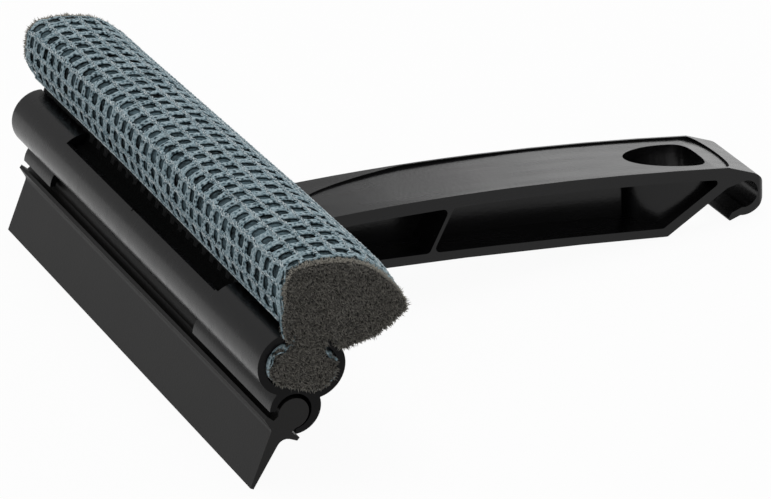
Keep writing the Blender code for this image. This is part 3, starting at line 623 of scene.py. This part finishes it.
# The colour of the painted shade on the tuck.
YARN_TUCK_SHADE_HEX = "#040506"
YARN_ROUGHNESS = 0.8
YARN_SHINE = 0.25
YARN_TWIST = 1300.0                # per metre: 0.8 mm, coarser than real twist, so that it shows
LOOPS_PER_CELL = (3.4, 4.2, 1.0)   # loops of 1.6 mm along the girth and 1.4 mm along the head
YARN_STOPS = (0.17, 0.5, 0.90)
NET_GAP = 0.0003
NET_THICKNESS = 0.0004
STRAND_SWELL = 0.00024
COLUMN_PITCH = 0.00562
ROW_PITCH = 0.00608
HOLE_GIRTH = 0.00475
HOLE_LENGTH = 0.00375
HOLE_CORNER = 0.75
HOLE_UNEVEN = 0.07
HOLE_SEED = 5
RING_SHARES = np.array([0.0, 0.45, 0.8, 1.0])
STAGGER = 5
CROWN_POINTS = 1200
BEAD_POINTS = 500
NET_NEAR = -0.0984
NET_FAR = 0.1055
BEAD_NEAR = (-0.0994, -0.0920)
BEAD_FAR = (0.0900, 0.0992)
WANDER = (0.0005, 0.021)           # height of a wave in the knit, then its lengths over two pi
RIPPLE = (0.0002, 0.0072, 0.008)
DRIFT = (0.0004, 0.017, 0.05)
SCALLOP = 0.0006
FRAY = (0.0003, 0.0011)
SAME_PLACE = 1e5                   # steps in a cell, to tell which points are one
LEAST_LENGTH = 1e-6
LEAST_GIRTH = 1e-9
TUCK = 0.0040
# Painted shade on the tuck: how far it reaches from the front edge, its fade, and its fade-in from the
# near end.
SHADED_TUCK = 0.0080
TUCK_SHADE_FADE = 0.0016
TUCK_SHADE_START = 0.004
CROWN_REACH = ((0.16, 0.34), (0.0021, 0.0))
BEAD_REACH = ((0.10, 0.18, 0.25, 0.31, 0.36, 0.40, 0.47, 0.70, 0.82),
              (0.0024, 0.0, 0.0015, 0.0015, 0.0, 0.0017, 0.0, 0.0, 0.0026))


def net_cell():
    """One cell of the net, a unit square with a long rounded hole, as rings of points from rim to
    hole, and how far each ring stands up: a strand is half an ellipse across."""
    side = np.linspace(-0.5, 0.5, STAGGER + 1)[:-1]
    full = np.full(STAGGER, 0.5)
    sides = ((side, -full), (full, side), (-side, full), (-full, -side))
    rim = np.vstack([np.column_stack(pair) for pair in sides])
    turn = np.arctan2(rim[:, 1], rim[:, 0])
    half = np.array([HOLE_GIRTH / COLUMN_PITCH, HOLE_LENGTH / ROW_PITCH]) / 2
    wave = np.column_stack([np.cos(turn), np.sin(turn)])
    hole = half * np.sign(wave) * np.abs(wave) ** HOLE_CORNER
    rings = rim[None] + (hole - rim)[None] * RING_SHARES[:, None, None]
    return rings, STRAND_SWELL * np.sqrt(1.0 - RING_SHARES ** 2)


def wrapped(line, near, far, reach, s, y, high):
    """Places on the flat sheet, warped a little by long waves, cut off along scalloped ends and
    wrapped round the foam: the sheet's first measure runs along the line, its second along the
    head, its third stands off it. Reach gives shares of the line and how far the near end goes on
    past its place there."""
    girth = np.concatenate([[0.0], np.cumsum(np.linalg.norm(np.diff(line, axis=0), axis=1))])
    s = (s + WANDER[0] * np.sin(y / WANDER[1])
         + RIPPLE[0] * np.sin(y / RIPPLE[1] + s / RIPPLE[2]))
    y = y + DRIFT[0] * np.sin(s / DRIFT[1] + y / DRIFT[2])
    scallop = SCALLOP * np.cos(2 * pi * s / COLUMN_PITCH) + FRAY[0] * np.sin(s / FRAY[1])
    y = np.clip(y, near - np.interp(s / girth[-1], *reach) - scallop, far + scallop)
    side = outward(line)
    up_back = np.column_stack([np.interp(s, girth, line[:, i]) for i in (0, 1)])
    normal = np.column_stack([np.interp(s, girth, side[:, i]) for i in (0, 1)])
    return to_frame(shaped(up_back, y) + normal * high[:, None], held_back(up_back[:, 0], y))


def net_part(line, near, far, reach, tucked=0.0):
    """Cells laid out flat in staggered columns, joined and wrapped round the foam. The first and
    the last column are cut along their middles. Gives the points, the corners of the faces, each
    point's place on the flat sheet in cells, and how much painted shade it carries in the tuck."""
    cell, lift = net_cell()
    columns = round(cut_length(line) / COLUMN_PITCH) + 1
    pitch = cut_length(line) / (columns - 1)
    rows = int((far - near) / ROW_PITCH) + 3
    column, row = np.meshgrid(np.arange(columns), np.arange(rows), indexing="ij")
    middle = np.stack([column + 0.5, row + (column % STAGGER) / STAGGER - 1.0], axis=-1)
    chance = np.random.default_rng(HOLE_SEED)
    uneven = chance.normal(1.0, HOLE_UNEVEN, (columns, rows, 1, 1, 2)) - 1
    places = middle[:, :, None, None] + cell * (1 + uneven * RING_SHARES[:, None, None])
    high = np.broadcast_to(lift[:, None], places.shape[:-1])

    rings, around = cell.shape[:2]
    cells = np.arange(columns * rows)[:, None, None] * rings * around
    faces = (grid_faces(rings, around) + cells).reshape(-1, 4)
    flat = np.concatenate([places, high[..., None]], axis=-1).reshape(-1, 3)
    _, first, joined = np.unique(np.round(flat[:, :2] * SAME_PLACE).astype(np.int64), axis=0,
                                 return_index=True, return_inverse=True)
    flat, faces = flat[first], joined.reshape(-1)[faces]

    s = np.clip((flat[:, 0] - 0.5) * pitch, 0.0, cut_length(line))
    points = wrapped(line, near, far, reach, s, near + flat[:, 1] * ROW_PITCH, flat[:, 2])
    long_enough = np.ptp(points[:, 1][faces], axis=1) > LEAST_LENGTH
    faces = faces[long_enough & (np.ptp(s[faces], axis=1) > LEAST_GIRTH)]
    used, faces = np.unique(faces, return_inverse=True)
    # Painted shade on the tuck along the front of the slot, fading in from the near end.
    dark = (1 - ease(s, tucked - TUCK_SHADE_FADE, tucked)) * ease(points[:, 1], near, near + TUCK_SHADE_START)
    return points[used], faces.reshape(-1, 4), flat[used, :2], dark[used]


def net_mesh(parts):
    """The parts of the net as one mesh, with each point's place on the flat sheet as its texture
    place."""
    starts = np.cumsum([0] + [len(points) for points, *_ in parts[:-1]])
    faces = np.vstack([part[1] + start for part, start in zip(parts, starts)])
    mesh = mesh_from("scrubber_net", np.vstack([part[0] for part in parts]), faces.tolist())
    mark(mesh, "dark", np.concatenate([part[3] for part in parts]))
    knots = np.vstack([part[2] for part in parts])
    corners = np.zeros(len(mesh.loops), dtype=np.int32)
    mesh.loops.foreach_get("vertex_index", corners)
    layer = mesh.uv_layers.new(name="knit")
    layer.uv.foreach_set("vector", knots[corners].astype(np.float32).ravel())
    return mesh


def knitted_yarn():
    """Polyester yarn, knitted: small loops with painted shade in each pore and painted light where
    the yarn stands up, uneven in its twist, so it looks soft and flecked. Its tuck along the front
    of the slot carries a painted shade that is nearly black."""
    material, tree, shader = new_material("blue_grey_polyester_yarn_knitted")
    place = add(tree, "ShaderNodeTexCoord")
    knit = add(tree, "ShaderNodeUVMap", uv_map="knit")
    loop_place = add(tree, "ShaderNodeMapping", {
        "Vector": knit.outputs["UV"], "Scale": LOOPS_PER_CELL})
    loops = add(tree, "ShaderNodeTexVoronoi", {
        "Vector": loop_place.outputs["Vector"], "Scale": 1.0, "Randomness": 0.5}, feature='F1')
    # Painted shade in each loop's pore and painted light on its wall, with the twist's own uneven tone
    # added.
    wall = add(tree, "ShaderNodeMapRange", {
        "Value": loops.outputs["Distance"], "From Min": 0.14, "From Max": 0.46, "To Max": 0.76})
    twist = add(tree, "ShaderNodeTexNoise", {
        "Vector": place.outputs["Object"], "Scale": YARN_TWIST, "Detail": 2.0})
    grain = add(tree, "ShaderNodeMath", {0: twist.outputs["Fac"], 1: 0.5}, operation='SUBTRACT')
    light = add(tree, "ShaderNodeMath", {
        0: grain.outputs["Value"], 1: 1.5, 2: wall.outputs["Result"]}, operation='MULTIPLY_ADD')
    ramp = add(tree, "ShaderNodeValToRGB", {"Fac": light.outputs["Value"]})
    low, high = ramp.color_ramp.elements
    low.position, low.color = YARN_STOPS[0], linear(YARN_DARK_HEX)
    high.position, high.color = YARN_STOPS[2], linear(YARN_LIGHT_HEX)
    ramp.color_ramp.elements.new(YARN_STOPS[1]).color = linear(YARN_HEX)
    bump = add(tree, "ShaderNodeBump", {
        "Height": light.outputs["Value"], "Strength": 0.7, "Distance": 0.0004})
    # Painted shade, nearly black, on the tuck.
    dark = add(tree, "ShaderNodeAttribute", attribute_name="dark")
    colour = add(tree, "ShaderNodeMix", {
        "Factor": dark.outputs["Fac"], "A": ramp.outputs["Color"], "B": linear(YARN_TUCK_SHADE_HEX)},
        data_type='RGBA')
    plug(tree, shader, {
        "Base Color": colour.outputs["Result"], "Normal": bump.outputs["Normal"],
        "Roughness": YARN_ROUGHNESS, "Specular IOR Level": YARN_SHINE})
    return material


crown = crown_line()
crown = crown + NET_GAP * outward(crown)
over_crown = spaced(np.vstack([crown[0] - [TUCK, 0.0], crown, crown[-1] - [TUCK, 0.0]]), CROWN_POINTS)
bead = bead_line()
round_bead = spaced(bead + NET_GAP * outward(bead), BEAD_POINTS)
net = link_piece("scrubber_net", net_mesh([
    net_part(over_crown, NET_NEAR, NET_FAR, CROWN_REACH, SHADED_TUCK),
    net_part(round_bead, *BEAD_NEAR, BEAD_REACH),
    net_part(round_bead, *BEAD_FAR, BEAD_REACH)]), knitted_yarn())
thick = net.modifiers.new("yarn_thickness", 'SOLIDIFY')
thick.thickness = NET_THICKNESS
thick.offset = 1.0
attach(net, "scrubber")
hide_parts("net_cover")


# Threads: two drawn polyester threads along each border between the net's columns, knitted in with
# the yarn. They swing round the ends of the gaps, cross each other, and catch more light than it.

THREAD_HEX = "#dce6e9"
THREAD_ROUGHNESS = 0.6
THREAD_SHINE = 0.35
THREAD_STRANDS = 900.0  # per metre: 1.1 mm between the places where the strands part
THREAD_RADIUS = 0.00020
THREAD_STEPS = 10
THREAD_SWING = 0.045
THREAD_CROSSING = 0.075
CROSSINGS = 3
FIRST_BORDER = 2
THREAD_NEAR = 0.25
THREAD_FAR = 0.1


def crossing_threads():
    """Two threads on each border between columns: waves that swing past the ends of the gaps on
    either side, with a finer wave of opposite hands that makes them cross three times a row. Each
    is a four-sided tube, closed by a face at both ends. The border in the tuck has none."""
    columns = round(cut_length(over_crown) / COLUMN_PITCH)
    pitch = cut_length(over_crown) / columns
    end = (NET_FAR - NET_NEAR) / ROW_PITCH - THREAD_FAR
    v = np.arange(THREAD_NEAR, end, 1 / THREAD_STEPS)[None, None, :, None]
    border = np.arange(FIRST_BORDER, columns)[:, None, None, None]
    hand = np.array([-1.0, 1.0])[None, :, None, None]
    turn = (np.arange(4) * pi / 2)[None, None, None, :]
    here, before = (border % STAGGER) / STAGGER, ((border - 1) % STAGGER) / STAGGER
    swing = THREAD_SWING * (np.cos(2 * pi * (v - before)) - np.cos(2 * pi * (v - here)))
    u = border + swing + THREAD_CROSSING * hand * np.sin(CROSSINGS * pi * v)
    s = (u - 0.5) * pitch + THREAD_RADIUS * np.cos(turn)
    over = 0.5 * THREAD_RADIUS * (1 + hand * np.cos(CROSSINGS * pi * v))
    high = STRAND_SWELL + NET_THICKNESS + over + THREAD_RADIUS * np.sin(turn)
    s, y, high = np.broadcast_arrays(s, NET_NEAR + v * ROW_PITCH, high)
    points = wrapped(over_crown, NET_NEAR, NET_FAR, CROWN_REACH, s.ravel(), y.ravel(), high.ravel())
    steps = s.shape[2]
    ends = np.array([[3, 2, 1, 0], 4 * steps - 4 + np.arange(4)])
    tube = np.vstack([grid_faces(steps, 4), ends])
    starts = np.arange(2 * border.size)[:, None, None] * 4 * steps
    return mesh_from("net_threads", points, (tube[None] + starts).reshape(-1, 4).tolist())


def light_thread():
    """Drawn polyester: lighter and a little glossier than the yarn, darker where its strands
    part, so it shows as a fine pale line."""
    material, tree, shader = new_material("blue_grey_polyester_thread")
    place = add(tree, "ShaderNodeTexCoord")
    strands = add(tree, "ShaderNodeTexNoise", {
        "Vector": place.outputs["Object"], "Scale": THREAD_STRANDS, "Detail": 2.0})
    tone = add(tree, "ShaderNodeMapRange", {
        "Value": strands.outputs["Fac"], "From Min": 0.35, "From Max": 0.65})
    colour = add(tree, "ShaderNodeMix", {
        "Factor": tone.outputs["Result"], "A": linear(YARN_HEX), "B": linear(THREAD_HEX)},
        data_type='RGBA')
    plug(tree, shader, {
        "Base Color": colour.outputs["Result"],
        "Roughness": THREAD_ROUGHNESS, "Specular IOR Level": THREAD_SHINE})
    return material


threads = link_piece("net_threads", crossing_threads(), light_thread())
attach(threads, "scrubber")


# Table: the squeegee stands on a wide sheet of matt white card, laid flat. It takes the faint soft
# shadow under the blade and the handle, and fades into the white room behind.

CARD_HEX = "#fafafa"
CARD_ROUGHNESS = 0.9
CARD_REACH = 3.0
SEEN_WHITE = 0.95
GLOSSY_WHITE = 0.9


def white_card():
    """Matt white card. The camera sees it mostly as plain white, with a little of the shadow left,
    and it lies as plain white in what shines too."""
    material, tree, shader = new_material("white_card")
    plug(tree, shader, {
        "Base Color": linear(CARD_HEX), "Roughness": CARD_ROUGHNESS, "Specular IOR Level": 0.0})
    ray = add(tree, "ShaderNodeLightPath")
    white = add(tree, "ShaderNodeEmission", {"Color": (1.0, 1.0, 1.0, 1.0), "Strength": 1.0})
    glossy = add(tree, "ShaderNodeMath", {
        0: ray.outputs["Is Glossy Ray"], 1: GLOSSY_WHITE}, operation='MULTIPLY')
    either = add(tree, "ShaderNodeMath", {
        0: ray.outputs["Is Camera Ray"], 1: SEEN_WHITE, 2: glossy.outputs["Value"]},
        operation='MULTIPLY_ADD')
    share = add(tree, "ShaderNodeMath", {
        0: either.outputs["Value"], 1: ray.outputs["Is Transmission Ray"]}, operation='MAXIMUM')
    mix = add(tree, "ShaderNodeMixShader", {
        "Fac": share.outputs["Value"], 1: shader.outputs["BSDF"], 2: white.outputs["Emission"]})
    plug(tree, tree.nodes["Material Output"], {"Surface": mix.outputs["Shader"]})
    return material


card = CARD_REACH * np.array([[-1.0, -1.0, 0.0], [1.0, -1.0, 0.0], [1.0, 1.0, 0.0], [-1.0, 1.0, 0.0]])
floor = link_piece("white_table", mesh_from("white_table", card, [(0, 1, 2, 3)]), white_card())


# Light: a dim white room, which the camera sees as plain white. One wide soft lamp stands behind
# the squeegee, low and to the right, one hangs above it, and a weak one stands in front.

ROOM_LEVEL = 0.34
GLOSSY_ROOM = 0.35
LAMPS = (("lamp_behind", (1.18, 1.14, 0.48), 1.0, 4.4),
         ("lamp_above", (0.15, 0.25, 1.60), 0.9, 9.0),
         ("lamp_front", (-0.90, -0.90, 1.00), 0.7, 1.2))

scene = bpy.context.scene
scene.view_settings.view_transform = 'Standard'
world = bpy.data.worlds.new("white_room")
scene.world = world
world.use_nodes = True
room = world.node_tree
ray = add(room, "ShaderNodeLightPath")
bright = add(room, "ShaderNodeMath", {
    0: ray.outputs["Is Glossy Ray"], 1: GLOSSY_ROOM, 2: ray.outputs["Is Camera Ray"]},
    operation='MULTIPLY_ADD')
bright = add(room, "ShaderNodeMath", {
    0: bright.outputs["Value"], 1: ray.outputs["Is Transmission Ray"]}, operation='MAXIMUM')
level = add(room, "ShaderNodeMapRange", {
    "Value": bright.outputs["Value"], "To Min": ROOM_LEVEL, "To Max": 1.0})
plug(room, room.nodes["Background"], {
    "Color": (1.0, 1.0, 1.0, 1.0), "Strength": level.outputs["Result"]})

for name, place, size, power in LAMPS:
    lamp = bpy.data.lights.new(name, 'AREA')
    lamp.size = size
    lamp.energy = power
    holder = bpy.data.objects.new(name, lamp)
    holder.matrix_world = Matrix.Translation(place)
    to_origin = -holder.matrix_world.translation
    holder.rotation_euler = to_origin.to_track_quat('-Z', 'Y').to_euler()
    scene.collection.objects.link(holder)


# Camera: a long lens in front of the squeegee, to the left and above it, a metre and a half away.
# It is turned towards the tool's middle and rolled a little.

CAMERA_PLACE = (-0.52935, -1.14759, 0.63285)
YAW, PITCH, ROLL = radians(23.96), radians(26.27), radians(-2.85)
LENS_MM = 205.55
SENSOR_MM = 36.0

forward = np.array([sin(YAW) * cos(PITCH), cos(YAW) * cos(PITCH), -sin(PITCH)])
right = np.array([cos(YAW), -sin(YAW), 0.0])
upward = np.cross(right, forward)
right, upward = (cos(ROLL) * right + sin(ROLL) * upward, cos(ROLL) * upward - sin(ROLL) * right)
camera_data = bpy.data.cameras.new("camera")
camera_data.lens = LENS_MM
camera_data.sensor_width = SENSOR_MM
camera_data.clip_start, camera_data.clip_end = 0.01, 100.0
camera = bpy.data.objects.new("camera", camera_data)
rows = [[right[i], upward[i], -forward[i], CAMERA_PLACE[i]] for i in range(3)]
camera.matrix_world = Matrix(rows + [[0.0, 0.0, 0.0, 1.0]])
scene.collection.objects.link(camera)
scene.camera = camera
